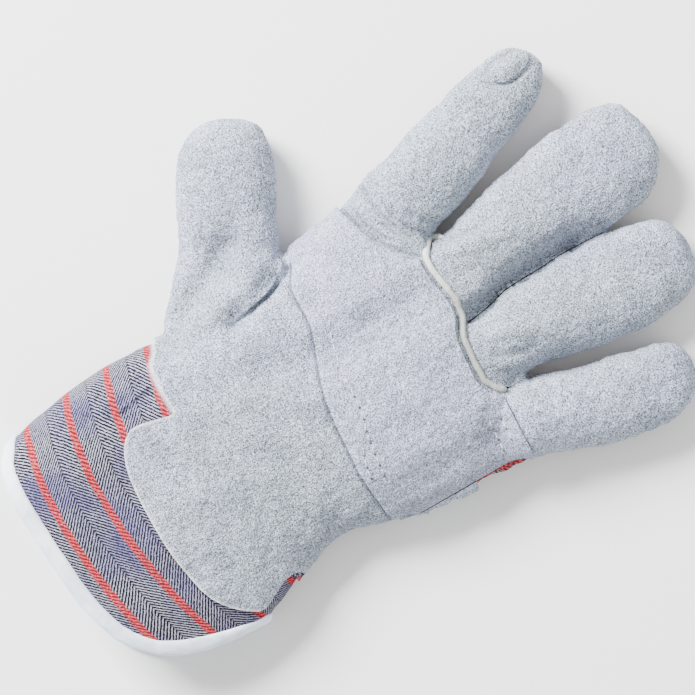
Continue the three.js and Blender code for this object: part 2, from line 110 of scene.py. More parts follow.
# Finger sections. along: share of the length. left and right: shares of the width. top, bottom: of the height.
FINGER_COLUMNS = "along left right top bottom"
FINGERS = {
    "thumb": (THUMB, table(FINGER_COLUMNS, [
        (-0.25, 0.72, 0.5, 0.95, 0.15),
        (0.0, 0.68, 0.58, 1.06, 0.07),
        (0.15, 0.59, 0.56, 1.06, 0.02),
        (0.3, 0.53, 0.49, 1.0, 0),
        (0.5, 0.525, 0.475, 0.97, 0),
        (0.7, 0.51, 0.485, 0.95, 0),
        (0.82, 0.475, 0.45, 0.92, 0),
        (0.9, 0.4, 0.4, 0.86, 0.02),
        (0.96, 0.29, 0.32, 0.76, 0.08),
        (0.99, 0.16, 0.2, 0.62, 0.2),
    ])),
    "index": (INDEX, table(FINGER_COLUMNS, [
        (-0.12, 0.46, 0.44, 0.85, 0.1),
        (0.1, 0.525, 0.5, 1.1, 0.06),
        (0.25, 0.513, 0.485, 1.04, 0.01),
        (0.42, 0.51, 0.47, 0.98, 0),
        (0.6, 0.488, 0.41, 0.94, 0),
        (0.78, 0.462, 0.362, 0.88, 0),
        (0.87, 0.413, 0.316, 0.83, 0.02),
        (0.93, 0.35, 0.24, 0.76, 0.07),
        (0.97, 0.245, 0.165, 0.68, 0.15),
        (0.99, 0.12, 0.1, 0.58, 0.25),
    ])),
    "middle": (MIDDLE, table(FINGER_COLUMNS, [
        (-0.12, 0.38, 0.4, 0.95, 0.1),
        (0.1, 0.39, 0.43, 1.08, 0.06),
        (0.22, 0.415, 0.42, 1.05, 0.01),
        (0.38, 0.48, 0.42, 1.0, 0),
        (0.55, 0.517, 0.44, 0.97, 0),
        (0.72, 0.53, 0.46, 0.95, 0),
        (0.84, 0.508, 0.44, 0.9, 0.01),
        (0.92, 0.457, 0.35, 0.82, 0.06),
        (0.97, 0.345, 0.2, 0.7, 0.15),
        (0.99, 0.2, 0.12, 0.58, 0.25),
    ])),
    "ring": (RING, table(FINGER_COLUMNS, [
        (-0.12, 0.38, 0.44, 0.95, 0.1),
        (0.1, 0.4, 0.48, 1.1, 0.06),
        (0.22, 0.46, 0.4, 1.1, 0.01),
        (0.38, 0.52, 0.465, 1.05, 0),
        (0.55, 0.53, 0.508, 1.02, 0),
        (0.72, 0.49, 0.512, 0.98, 0),
        (0.84, 0.458, 0.465, 0.92, 0.01),
        (0.92, 0.395, 0.4, 0.84, 0.06),
        (0.97, 0.26, 0.275, 0.7, 0.15),
        (0.99, 0.14, 0.15, 0.58, 0.25),
    ])),
    "little": (LITTLE, table(FINGER_COLUMNS, [
        (-0.15, 0.38, 0.4, 0.78, 0.12),
        (0.1, 0.46, 0.462, 1.08, 0.06),
        (0.25, 0.42, 0.51, 1.03, 0.01),
        (0.42, 0.38, 0.565, 0.98, 0),
        (0.6, 0.385, 0.58, 0.95, 0),
        (0.76, 0.365, 0.55, 0.9, 0),
        (0.86, 0.35, 0.485, 0.84, 0.02),
        (0.93, 0.31, 0.375, 0.76, 0.07),
        (0.97, 0.22, 0.24, 0.68, 0.15),
        (0.99, 0.12, 0.13, 0.58, 0.25),
    ])),
}

# The side wall that joins the ring and little fingers at their roots
WEB = dict(line=[(42, 96), (43.5, 102), (44.6, 108), (45.2, 113)], half=3.4, top=19, bottom=2)

# Broad folds and dents of the palm side, as in the solids.
# x and reach: shares of the palm width. y: share of the palm length. rise: share of the palm height.
FOLDS = table("x0 y0 x1 y1 reach rise", [
    (0.018, 0.8, -0.018, 0.31, 0.08, -0.1),
    (-0.44, 0.373, -0.31, 0.1, 0.06, -0.12),
    (-0.29, 0.527, -0.22, 0.29, 0.035, -0.09),
    (-0.335, 0.455, -0.29, 0.255, 0.035, 0.05),
    (-0.4, 0.864, -0.21, 0.845, 0.04, -0.06),
    (-0.088, 0.964, -0.044, 1.2, 0.035, 0.05),
    (0.22, 1.036, 0.28, 1.18, 0.045, 0.05),
    (0.14, 0.4, 0.0, 0.18, 0.05, 0.05),
    (0.5, 0.836, 0.49, 0.436, 0.05, -0.05),
    (0.07, 1.11, 0.08, 1.436, 0.045, -0.08),
    (-0.175, -0.08, -0.155, -0.2, 0.03, -0.04),
])

# The hem's height around the cuff. turn: degrees from the little-finger side. drop: share of the cuff length.
HEM = table("turn drop", [
    (0, 0.2),
    (4, 0.203),
    (8, 0.222),
    (12, 0.262),
    (16, 0.325),
    (21, 0.43),
    (27, 0.56),
    (35, 0.715),
    (46, 0.855),
    (60, 0.94),
    (80, 0.985),
    (105, 1.0),
    (130, 0.985),
    (144, 0.965),
    (155, 0.94),
    (180, 0.9),
])

# Outlines in plan, in millimetres from the middle of the wrist line
WELT_LINE = [(-16.8, 116.6), (-16.5, 108.9), (-10.9, 103.3), (-4, 103.2), (6, 104.8), (13, 104.2), (19, 101.2),
             (30, 99.6), (39, 99.8), (44, 103.5), (45, 113.3)]
TWO_FINGER_SIDES = [(48.5, 130), (53, 150), (54, 170), (56, 209), (-36, 209), (-34, 172), (-29, 150), (-22.2, 132),
                    (-18, 121)]
FRONT = [(68.6, 45), (68.6, 60), (68.6, 80), (68.4, 93), (70.2, 99.5), (74, 102.3), (96, 103), (109, 209),
         (-109, 209), (-109, 10), (-60, 3.3), (-36, 2.5), (-30, 0),
         (-27, -3), (-20, -4), (-9, -3.6), (-7.6, -4.6), (-9, -10), (-10.6, -17), (-10.6, -20.6), (-7.6, -24.8),
         (-2, -27.8), (6, -29.8), (20, -30.6), (35, -30.4), (45, -29), (55, -27), (62, -23), (67, -18), (71, -12),
         (68, -6), (64, 2), (65.5, 8),
         (80, 12), (80, 44)]
PATCH = [(68.4, 45), (68.4, 80), (68.2, 92), (70, 98.5), (73.5, 101.2), (60, 101.6), (46, 102.3), (44, 103.5),
         (39, 99.8), (30, 99.6), (19, 101.2), (13, 104.2),
         (6, 104.8), (-4, 103.2), (-10.9, 103.3), (-12.5, 100), (-15, 95), (-22, 90), (-33, 87), (-42, 84.5),
         (-50, 84.5), (-46, 70), (-41.8, 62.5), (-38, 60.5), (-33.5, 60), (-29.5, 57.5), (-26, 55.3), (-22, 55),
         (-12, 55), (-5, 53), (0, 51), (8, 48), (15, 46), (25, 44.5), (35, 44), (45, 43)]
STRAP = [(91, 45.5), (91, 82), (-50, 82), (-46, 72), (-40, 66), (-35, 62), (-31, 45.5)]
THUMB_ZONE = [(-41, 59.4), (-50, 79), (-114, 79), (-114, 11), (-38.8, -3.3), (-33, 19.8), (-33, 39.6), (-36.5, 55)]
BELOW_BACK = [(-228, -220), (228, -220), (228, 4), (-228, 4)]
THUMB_CORNER = [(-44, 66), (-41.5, 61), (-36, 59)]
LIP = [(-60.2, 160), (-59, 156.7), (-56.5, 155.6), (-53.5, 157), (-51.8, 160.5), (-52.2, 165.5), (-53.6, 170),
       (-56, 172.6), (-59, 172), (-60.2, 166)]

# Sharp creases, ridges and seams of the palm side, each along a line in plan. rise: height over the broad form.
CREASES = [
    dict(line=[(-39.5, 56.5), (-36, 57.4), (-33, 58.2), (-31.2, 56.2), (-29.6, 51.2), (-28, 44.5), (-26.6, 37.8),
               (-24.5, 30), (-23, 24)], reach=0.75, rise=-0.7, step=3.1, fade=4.5, end=0.6),
    dict(line=[(-38, 53), (-34.5, 46), (-32.5, 38), (-30, 29)], reach=4, rise=0.6),
    dict(line=[(-54, 47), (-45, 33), (-39, 18), (-35, 5)], reach=4.5, rise=-1.5),
    dict(line=[(-60, 52), (-52, 44), (-46, 42)], reach=3, rise=-0.6),
    dict(line=[(-54, 84), (-41.4, 85.3), (-34.5, 87.6), (-28, 90.2), (-20, 94.6), (-15, 99), (-11, 104), (-8, 110)],
         reach=0.7, rise=-1.6),
    dict(line=[(-54, 94.5), (-45.5, 95.6), (-37, 95.8), (-30, 97.5), (-25, 99.5), (-17, 104)], reach=0.7, rise=-1.2),
    dict(line=[(-41, 90.5), (-31, 92.5), (-22, 97.5), (-14, 106)], reach=1.4, rise=1.1),
    dict(line=[(-42, 89), (-33, 90.2), (-26, 93), (-19, 99)], reach=0.65, rise=-1.0),
    dict(line=[(-36, 99.5), (-27, 101.5), (-20, 106), (-17, 111)], reach=0.8, rise=-1.0),
    dict(line=[(-31, 94.6), (-24, 98), (-18.5, 103)], reach=0.65, rise=-0.9),
    dict(line=[(-30, 105), (-25, 108), (-21, 112.5)], reach=1.4, rise=-0.6),
    dict(line=[(-24, 108), (-20, 112), (-18, 117)], reach=1.4, rise=-0.5),
    dict(line=[(-10, 106), (-8, 116), (-5, 130)], reach=2.4, rise=0.7),
    dict(line=[(-14, 110), (-12, 120), (-10, 132)], reach=1.6, rise=-0.7),
    dict(line=[(0, 108), (2, 118), (4, 126)], reach=2.2, rise=-0.6),
    dict(line=[(24, 106), (27, 116), (32, 128)], reach=2.6, rise=0.7),
    dict(line=[(31, 105), (35, 114), (38, 124)], reach=1.8, rise=-0.7),
    dict(line=[(38, 104), (41, 110), (42, 118)], reach=1.6, rise=-0.6),
    dict(line=[(15, 45), (8, 34), (0, 22)], reach=3.5, rise=0.5),
    dict(line=[(-20, 62), (-14, 56), (-10, 40)], reach=4, rise=-0.5),
    dict(line=[(45, 96), (56, 92), (66, 88)], reach=5, rise=-0.5),
    dict(line=[(-61, 174), (-60.9, 166), (-60.8, 159.5), (-59.2, 156), (-56.5, 154.8), (-53, 156.2), (-51, 160),
               (-51.4, 166), (-54, 176)], reach=0.9, rise=-0.8),
    dict(line=[(-56, 160), (-56, 168)], reach=2.4, rise=0.7),
]
SLIT = [(17, 104.5), (16.6, 108), (15.6, 114.5), (13.6, 121.7), (13.1, 130.6), (12.9, 139.3), (12.4, 146.1),
        (12.6, 153.3), (12.9, 160), (13.2, 164)]

# Stitch rows on the palm's second layer
STITCH_ROWS = [
    [(-22, 64), (-11, 62), (-3, 59), (5, 57), (13, 56), (20, 55.5), (28, 54.5), (33, 53), (38, 52), (46, 51), (54, 50)],
    [(37, 49), (41, 47.5), (45, 46.5), (50, 46)],
    [(50, 97.8), (58, 97.4), (66, 97)],
    [(52, 93.4), (60, 93), (66, 92.6)],
]
STITCH_PITCH = 4.4
STITCH_LENGTH = 2.7
THREAD = 0.24
HOLES_FROM = 18


# Number helpers
def smoothstep(x, low, high):
    t = np.clip((x - low) / (high - low), 0, 1)
    return t * t * (3 - 2 * t)


def smooth_read(xs, ys, x):
    """A soft curve through a table's column, read at x."""
    slope = np.gradient(ys, xs)
    i = np.clip(np.searchsorted(xs, x) - 1, 0, len(xs) - 2)
    step = xs[i + 1] - xs[i]
    t = np.clip((x - xs[i]) / step, 0, 1)
    return ((2 * t**3 - 3 * t**2 + 1) * ys[i] + (t**3 - 2 * t**2 + t) * step * slope[i]
            + (3 * t**2 - 2 * t**3) * ys[i + 1] + (t**3 - t**2) * step * slope[i + 1])


def soft_line(points, step=1.0):
    """A line through points, resampled on a soft curve at an even step."""
    points = np.array(points, float)
    place = np.concatenate([[0], np.cumsum(np.hypot(*np.diff(points, axis=0).T))])
    at = np.linspace(0, place[-1], max(int(place[-1] / step), 2) + 1)
    return np.stack([smooth_read(place, points[:, k], at) for k in (0, 1)], 1)


def rounded(points, times=2):
    """A closed outline with its corners cut again and again."""
    points = np.array(points, float)
    for _ in range(times):
        after = np.roll(points, -1, 0)
        points = np.stack([0.75 * points + 0.25 * after, 0.25 * points + 0.75 * after], 1).reshape(-1, 2)
    return points


def from_line(line, xy):
    """Distance from a line, share along it, and side, which is positive on its left."""
    line = np.array(line, float)
    lengths = np.hypot(*np.diff(line, axis=0).T)
    starts = np.concatenate([[0], np.cumsum(lengths)])
    best = np.full(len(xy), 1e9)
    along = np.zeros(len(xy))
    side = np.zeros(len(xy))
    for i, length in enumerate(lengths):
        run = (line[i + 1] - line[i]) / length
        away = xy - line[i]
        t = np.clip(away @ run, 0, length)
        gap = away - t[:, None] * run
        distance = np.hypot(gap[:, 0], gap[:, 1])
        near = distance < best
        best = np.where(near, distance, best)
        along = np.where(near, (starts[i] + t) / starts[-1], along)
        side = np.where(near, run[0] * away[:, 1] - run[1] * away[:, 0], side)
    return best, along, side


def lumps(p, size, seed):
    """Soft seeded unevenness of about one size, between about -1 and 1."""
    rng = np.random.default_rng(seed)
    total = np.zeros(len(p))
    for _ in range(18):
        wave = rng.normal(size=p.shape[1])
        wave *= (2 * math.pi / size) * rng.uniform(0.6, 1.5) / np.linalg.norm(wave)
        total += np.cos(p @ wave + rng.uniform(0, 2 * math.pi))
    return total / 4.5


# The glove's solid form
def fold_lift(x, y):
    lift = np.zeros(np.shape(x))
    for x0, y0, x1, y1, reach, rise in zip(*FOLDS.values()):
        line = [(x0 * PALM_WIDTH, y0 * PALM_LENGTH), (x1 * PALM_WIDTH, y1 * PALM_LENGTH)]
        away = from_line(line, np.stack([x, y], -1))[0]
        lift += rise * PALM_HEIGHT * np.exp(-((away / (reach * PALM_WIDTH)) ** 2))
    return lift


def skin(section, turn, offset, rest=0.0):
    """Points of a soft section at angles around it, as in the solids."""
    c, s = np.cos(turn), np.sin(turn)
    power = np.where(s < 0, 2 / BOW_UNDER, 2 / BOW_OVER)
    half = np.where(c < 0, section["left"], section["right"])
    rise = np.where(s < 0, SEAM_HEIGHT - section["bottom"] + SAG, section["top"] - SEAM_HEIGHT)
    across = np.sign(c) * np.abs(c) ** power
    up = np.sign(s) * np.abs(s) ** power
    out = across * np.maximum(half + offset, LEAST)
    x = section["x"] + section["acrossX"] * out
    y = section["y"] + section["acrossY"] * out
    plain = across * half
    lift = fold_lift(section["x"] + section["acrossX"] * plain, section["y"] + section["acrossY"] * plain)
    z = SEAM_HEIGHT + up * np.maximum(rise + offset, LEAST) + lift * smoothstep(up * rise, 0, FADE)
    slide = section["stretch"] * offset
    least = np.maximum(np.maximum(section["bottom"], rest) - offset, 0)
    return np.stack([x - section["acrossY"] * slide, y + section["acrossX"] * slide, np.maximum(z, least)], -1)


BODY_Y = BODY["along"] * np.where(BODY["along"] < 0, CUFF_LENGTH, PALM_LENGTH)


def body_section(y):
    row = {name: smooth_read(BODY_Y, BODY[name], y) for name in ("left", "right", "top")}
    layer = np.interp(y, BODY_Y, BODY["layer"])
    inset = layer * LAYER
    tall = CUFF_HEIGHT + (PALM_HEIGHT - CUFF_HEIGHT) * smoothstep(y, -CUFF_TUCK, CUFF_TUCK)
    return dict(x=0 * y, y=y, acrossX=1, acrossY=0, left=row["left"] * PALM_WIDTH - inset,
                right=row["right"] * PALM_WIDTH - inset, top=row["top"] * tall - inset, bottom=inset, stretch=0)


def finger_section(finger, rows, along):
    splay = math.radians(finger["splay"])
    reach = along * finger["length"]
    share = {name: smooth_read(rows["along"], rows[name], along) for name in ("left", "right", "top", "bottom")}
    return dict(x=finger["root"][0] * PALM_WIDTH + math.sin(splay) * reach,
                y=finger["root"][1] * PALM_LENGTH + math.cos(splay) * reach,
                acrossX=math.cos(splay), acrossY=-math.sin(splay),
                left=share["left"] * finger["width"], right=share["right"] * finger["width"],
                top=share["top"] * finger["height"], bottom=share["bottom"] * finger["height"],
                stretch=-1.0 if along < 0 else along)


def ring_faces(count, sides, wrap=False):
    r, i = np.meshgrid(np.arange(count if wrap else count - 1), np.arange(sides), indexing="ij")
    a, b = r * sides + i, r * sides + (i + 1) % sides
    above = ((r + 1) % count) * sides
    return np.stack([a, b, above + (i + 1) % sides, above + i], -1).reshape(-1, 4).tolist()


def capped(rings, start, end):
    """Rings closed by a point at either end, as points and faces."""
    count, sides = len(rings), len(rings[0])
    points = np.concatenate([np.concatenate(rings), [start, end]])
    faces = ring_faces(count, sides)
    last = (count - 1) * sides
    for i in range(sides):
        j = (i + 1) % sides
        faces.append([count * sides, j, i])
        faces.append([count * sides + 1, last + i, last + j])
    return points, faces


def hand_parts(offset):
    turn = np.arange(SIDES) / SIDES * 2 * math.pi
    low, high = BODY_Y[BODY_Y > -CUFF_LENGTH / 2][[0, -1]]
    parts = []
    rings = [skin(body_section(y), turn, offset) for y in np.linspace(low, high, 70)]
    parts.append(capped(rings, rings[0].mean(0), rings[-1].mean(0)))
    for finger, rows in FINGERS.values():
        stations = np.concatenate([np.linspace(rows["along"][0], 0.94, 50), 1 - 0.06 * np.linspace(0.95, 0.2, 10) ** 2])
        stations = stations[stations < 0.995]
        rings = [skin(finger_section(finger, rows, along), turn, offset) for along in stations]
        tip = finger_section(finger, rows, 1.0)
        end = np.array([tip["x"] - tip["acrossY"] * offset, tip["y"] + tip["acrossX"] * offset, SEAM_HEIGHT])
        parts.append(capped(rings, rings[0].mean(0), end))
    rings = [skin(dict(x=x, y=y, acrossX=1, acrossY=0, left=WEB["half"], right=WEB["half"], top=WEB["top"],
                       bottom=WEB["bottom"], stretch=0), turn, offset) for x, y in soft_line(WEB["line"], 1.5)]
    parts.append(capped(rings, rings[0].mean(0), rings[-1].mean(0)))
    return parts


# Mesh helpers. Meshes are kept in millimetres until they are finished.
def raw_mesh(name, points, faces):
    mesh = bpy.data.meshes.new(name)
    mesh.from_pydata(np.asarray(points, float).tolist(), [], faces)
    mesh.validate()
    mesh.update()
    return mesh


def temporary(mesh):
    obj = bpy.data.objects.new("temporary", mesh)
    bpy.context.scene.collection.objects.link(obj)
    return obj


def settled(obj):
    """The object's mesh with its modifiers in it. The object is then gone."""
    graph = bpy.context.evaluated_depsgraph_get()
    mesh = bpy.data.meshes.new_from_object(obj.evaluated_get(graph))
    bpy.data.objects.remove(obj)
    return mesh


def joined(parts):
    points, faces, count = [], [], 0
    for p, f in parts:
        points.append(p)
        faces += [[i + count for i in face] for face in f]
        count += len(p)
    return np.concatenate(points), faces


def remeshed(parts, size):
    obj = temporary(raw_mesh("form", *joined(parts)))
    modifier = obj.modifiers.new("remesh", "REMESH")
    modifier.mode = "VOXEL"
    modifier.voxel_size = size
    return settled(obj)


def combined(mesh, other, how):
    obj, tool = temporary(mesh), temporary(other)
    modifier = obj.modifiers.new("combine", "BOOLEAN")
    modifier.operation = how
    modifier.solver = "MANIFOLD"
    modifier.object = tool
    result = settled(obj)
    bpy.data.objects.remove(tool)
    return result


def drop_scraps(mesh):
    """Takes out loose scraps that cutting has left."""
    form = bmesh.new()
    form.from_mesh(mesh)
    left, scraps = set(form.verts), []
    while left:
        front = {left.pop()}
        part = set(front)
        while front:
            front = {edge.other_vert(vertex) for vertex in front for edge in vertex.link_edges} & left
            left -= front
            part |= front
        if len(part) < SCRAP:
            scraps += part
    if scraps:
        bmesh.ops.delete(form, geom=scraps, context="VERTS")
        form.to_mesh(mesh)
        mesh.update()
    form.free()


def points_of(mesh):
    out = np.empty(len(mesh.vertices) * 3, np.float32)
    mesh.vertices.foreach_get("co", out)
    return out.reshape(-1, 3).astype(float)


def normals_of(mesh):
    out = np.empty(len(mesh.vertices) * 3, np.float32)
    mesh.vertex_normals.foreach_get("vector", out)
    return out.reshape(-1, 3).astype(float)


def set_points(mesh, points):
    mesh.vertices.foreach_set("co", np.asarray(points, np.float32).ravel())
    mesh.update()


def edges_of(mesh):
    out = np.empty(len(mesh.edges) * 2, np.int32)
    mesh.edges.foreach_get("vertices", out)
    return out.reshape(-1, 2)


def relaxed(mesh, values, times, strength=0.5):
    """Values at a mesh's points, evened out over their neighbours."""
    edges = edges_of(mesh)
    a, b = np.concatenate([edges[:, 0], edges[:, 1]]), np.concatenate([edges[:, 1], edges[:, 0]])
    count = len(values)
    share = 1 / np.maximum(np.bincount(a, minlength=count), 1)
    for _ in range(times):
        mean = np.stack([np.bincount(a, values[b, k], count) * share for k in range(values.shape[1])], 1)
        values = values + np.reshape(strength, (-1, 1)) * (mean - values)
    return values


def copy_of(mesh, points):
    new = mesh.copy()
    set_points(new, points)
    return new


def prism(outline, low, high):
    outline = np.asarray(outline, float)
    count = len(outline)
    points = np.concatenate([np.c_[outline, np.full(count, low)], np.c_[outline, np.full(count, high)]])
    faces = [list(range(count))[::-1], list(range(count, 2 * count))]
    faces += [[i, (i + 1) % count, count + (i + 1) % count, count + i] for i in range(count)]
    return raw_mesh("prism", points, faces)


def grown(outline, by):
    outline = np.asarray(outline, float)
    before, after = outline - np.roll(outline, 1, 0), np.roll(outline, -1, 0) - outline
    outward = [np.stack([d[:, 1], -d[:, 0]], 1) / np.hypot(*d.T)[:, None] for d in (before, after)]
    middle = outward[0] + outward[1]
    middle /= np.hypot(*middle.T)[:, None]
    return outline + middle * (by / np.maximum((middle * outward[1]).sum(1), 0.5))[:, None]


def ribbon(line, width):
    line = np.asarray(line, float)
    run = np.gradient(line, axis=0)
    run /= np.hypot(*run.T)[:, None]
    side = np.stack([run[:, 1], -run[:, 0]], 1) * width / 2
    return np.concatenate([line + side, (line - side)[::-1]])


# Relief of the palm side and grooves at the seams
def relief(p, n, spread=0.0):
    """Height of the creases, seams and lumps over the broad form. spread: how far valleys widen, for an inner skin."""
    xy = p[:, :2]
    up = smoothstep(n[:, 2], 0.0, 0.45)
    lift = np.zeros(len(p))
    for crease in CREASES:
        away, along, side = from_line(soft_line(crease["line"], 2.0), xy)
        ends = smoothstep(along, 0, 0.12) * smoothstep(1 - along, 0, crease.get("end", 0.35))
        shape = crease["rise"] * np.exp(-((away / (crease["reach"] + spread)) ** 2))
        if "step" in crease and not spread:
            raised = np.where(side * crease["step"] < 0, smoothstep(away, 0, 1.0), 0)
            shape += abs(crease["step"]) * raised * np.exp(-((away / crease["fade"]) ** 2))
        lift += shape * ends * up
    away, along, side = from_line(soft_line(SLIT, 2.0), xy)
    ends = smoothstep(along, -0.02, 0.08) * smoothstep(1 - along, 0, 0.25)
    near_dip, far_dip = (np.exp(-((away / (reach + spread)) ** 2)) for reach in (4.6, 1.3))
    lift -= np.where(side > 0, 4.2 * near_dip, 1.6 * far_dip) * ends * up
    away = from_line(welt_line, xy)[0]
    lift -= 0.9 * np.exp(-((away / 2.2) ** 2)) * up
    level = np.abs(n[:, 2])
    side_seam = np.exp(-(((p[:, 2] - SEAM_HEIGHT - 0.15) / 1.3) ** 2))
    below = smoothstep(SEAM_HEIGHT - p[:, 2], -0.3, 0.6) * smoothstep(p[:, 2], 0, 6)
    lift -= (0.7 * side_seam + 0.75 * below) * (1 - level) * (p[:, 1] > 0)
    canvas_side = np.exp(-(((p[:, 0] - 69) / 5) ** 2) - ((p[:, 1] - 91) / 8) ** 2)
    lift += 3.2 * canvas_side * (1 - level) * smoothstep(SEAM_HEIGHT - p[:, 2], -1.5, 1.5)
    lift -= 0.45 * np.exp(-((from_line(patch_foot, xy)[0] / 0.7) ** 2)) * up
    lift += 0.34 * lumps(p, 17, 3) + 0.16 * lumps(p, 6, 5) + 0.07 * lumps(p, 2.6, 7) + 0.08 * lumps(p, 1.4, 8)
    return lift


welt_line = soft_line(WELT_LINE, 1.0)
patch_foot = np.array([(x, y - 0.4) for x, y in [*PATCH[-12:], PATCH[0]]])


def hand_form(offset, size, relaxing, spread=0.0):
    mesh = remeshed(hand_parts(offset), size)
    points = points_of(mesh)
    near_slit = np.exp(-((from_line(SLIT, points[:, :2])[0] / 3) ** 2)) * (points[:, 2] > SEAM_HEIGHT)
    near_floor = smoothstep(points[:, 2], 0.3, 1.5)
    strength = 0.5 * (1 - 0.9 * near_slit) * near_floor
    set_points(mesh, relaxed(mesh, points, relaxing, strength))
    points, normals = points_of(mesh), normals_of(mesh)
    points = points + normals * relief(points, normals, spread)[:, None]
    points[:, 2] = np.maximum(points[:, 2], max(-offset, 0))
    set_points(mesh, points)
    return mesh


outer = hand_form(0, FINE, 7)
inner = hand_form(-LEATHER_WALL, COARSE, 3, COARSE)

outer_tree = BVHTree.FromPolygons([Vector(p) for p in points_of(outer)], [list(f.vertices) for f in outer.polygons])
inner_points, inner_normals = points_of(inner), normals_of(inner)
for index, (p, n) in enumerate(zip(inner_points, inner_normals)):
    near, facing, _, distance = outer_tree.find_nearest(Vector(p))
    inside = (near - Vector(p)).dot(facing) > 0
    depth = distance if inside else -distance
    if depth < 1.0:
        inner_points[index] -= n * min(1.0 - depth, 2.0)
set_points(inner, inner_points)


def lifted(by):
    """The outer skin moved out, though less beside the thumb, where the layers run out."""
    points = points_of(outer)
    less = 0.75 * np.exp(-((from_line(THUMB_CORNER, points[:, :2])[0] / 5) ** 2)) if by > LEATHER_WALL else 0 * points[:, 0]
    points += outer_normals * (by * (1 - less))[:, None]
    points[:, 2] = np.maximum(points[:, 2], 0.0)
    return copy_of(outer, points)


outer_normals = relaxed(outer, normals_of(outer), 6)
outer_normals /= np.linalg.norm(outer_normals, axis=1)[:, None]

SKY = 2 * PALM_HEIGHT
SEAM = SEAM_HEIGHT + 0.15
front_outline = rounded(FRONT, 1)
patch_outline = rounded(PATCH, 1)
two_fingers = np.concatenate([welt_line, TWO_FINGER_SIDES])
seam_room = np.where(np.arange(len(two_fingers)) < len(welt_line) - 8, 0.7, 0.12)
SLIT_WIDTH = 0.4
PATCH_SETBACK = 2.7

slit_line = soft_line(SLIT, 1.0)
slit_widths = SLIT_WIDTH * (1 + 0.2 * lumps(slit_line, 8, 51))[:, None]
slit_outer = combined(outer.copy(), prism(ribbon(slit_line, slit_widths), -SKY, SKY), "DIFFERENCE")
slit_inner = combined(inner, prism(ribbon(slit_line, SLIT_WIDTH + 2 * LEATHER_WALL), -SKY, SKY), "DIFFERENCE")
shell = combined(slit_outer, slit_inner, "DIFFERENCE")
front = combined(shell.copy(), prism(front_outline, SEAM, SKY), "INTERSECT")
palm_mesh = combined(front.copy(), prism(grown(two_fingers, seam_room), -SKY, SKY), "DIFFERENCE")
two_mesh = combined(front, prism(grown(two_fingers, -seam_room), -SKY, SKY), "INTERSECT")
back = combined(shell, prism(BELOW_BACK, -SKY * 2, SKY), "DIFFERENCE")
back = combined(back, prism(grown(front_outline, 0.15), SEAM_HEIGHT, SKY), "DIFFERENCE")
thumb_outline = rounded(THUMB_ZONE)
thumb_mesh = combined(back.copy(), prism(thumb_outline, -SKY, SKY), "INTERSECT")
back_mesh = combined(back, prism(grown(thumb_outline, 0.2), -SKY, SKY), "DIFFERENCE")

layer = combined(lifted(LAYER), lifted(0.15), "DIFFERENCE")
patch_mesh = combined(layer.copy(), prism(patch_outline, SEAM, SKY), "INTERSECT")
patch_mesh = combined(patch_mesh, prism(ribbon(welt_line, 2 * PATCH_SETBACK), -SKY, SKY), "DIFFERENCE")
strap_mesh = combined(layer, prism(rounded(STRAP, 1), -SKY, SKY), "INTERSECT")
strap_mesh = combined(strap_mesh, prism(grown(front_outline, 0.15), SEAM_HEIGHT, SKY), "DIFFERENCE")
lip_outline = rounded(LIP)
lip_mesh = combined(lifted(2.0), lifted(0.1), "DIFFERENCE")
lip_mesh = combined(lip_mesh, prism(lip_outline, SEAM, SKY), "INTERSECT")

for cut_mesh in (palm_mesh, two_mesh, back_mesh, thumb_mesh, patch_mesh, strap_mesh, lip_mesh):
    drop_scraps(cut_mesh)

strap_points = points_of(strap_mesh)
bulge = smoothstep(strap_points[:, 0], 68.7, 70) * (0.7 + 0.4 * lumps(strap_points, 5, 41))
strap_points[:, 0] += bulge
set_points(strap_mesh, strap_points)


def softened(mesh, outline, reach, drop, low):
    """A layer's upper skin, pressed down towards its cut edge."""
    points, normals = points_of(mesh), normals_of(mesh)
    away = from_line(np.concatenate([outline, outline[:1]]), points[:, :2])[0]
    upper = np.array([outer_tree.find_nearest(Vector(p))[3] for p in points]) > low
    points[:, 2] -= drop * np.exp(-((away / reach) ** 2)) * upper
    set_points(mesh, points)


softened(patch_mesh, patch_outline, 0.9, 0.4, 1.2)
softened(lip_mesh, lip_outline, 1.6, 1.0, 1.0)


# The canvas cuff and its binding
CUFF_OFFSET = -(LEATHER_WALL + CUFF_GAP)
BINDING_OFFSET = CUFF_OFFSET + BINDING_GAP + BINDING_WALL
TAPE_RISE = 1.2
TAPE_WALL = 0.7


def cloth(y, turn, offset):
    """Points of the cuff's cloth, one for each height and angle."""
    section = body_section(np.asarray(y, float))
    return skin(section, turn, offset, BINDING_OFFSET)


def hem_y(turn):
    degrees = np.degrees(turn) % 360
    degrees = np.minimum(degrees, 360 - degrees)
    return -smooth_read(HEM["turn"], HEM["drop"], degrees) * CUFF_LENGTH


cuff_turns = np.arange(AROUND) / AROUND * 2 * math.pi
cuff_turns = cuff_turns - 0.4 * np.sin(2 * cuff_turns)
ruler_turns = np.linspace(0, 2 * math.pi, 1441)
ruler = cloth(np.full(1441, -CUFF_LENGTH / 2), ruler_turns, CUFF_OFFSET)
ruler_lengths = np.concatenate([[0], np.cumsum(np.linalg.norm(np.diff(ruler, axis=0), axis=1))])
girth = ruler_lengths[-1]
hem_plan = np.stack([np.interp(cuff_turns, ruler_turns, ruler_lengths), hem_y(cuff_turns)], 1)


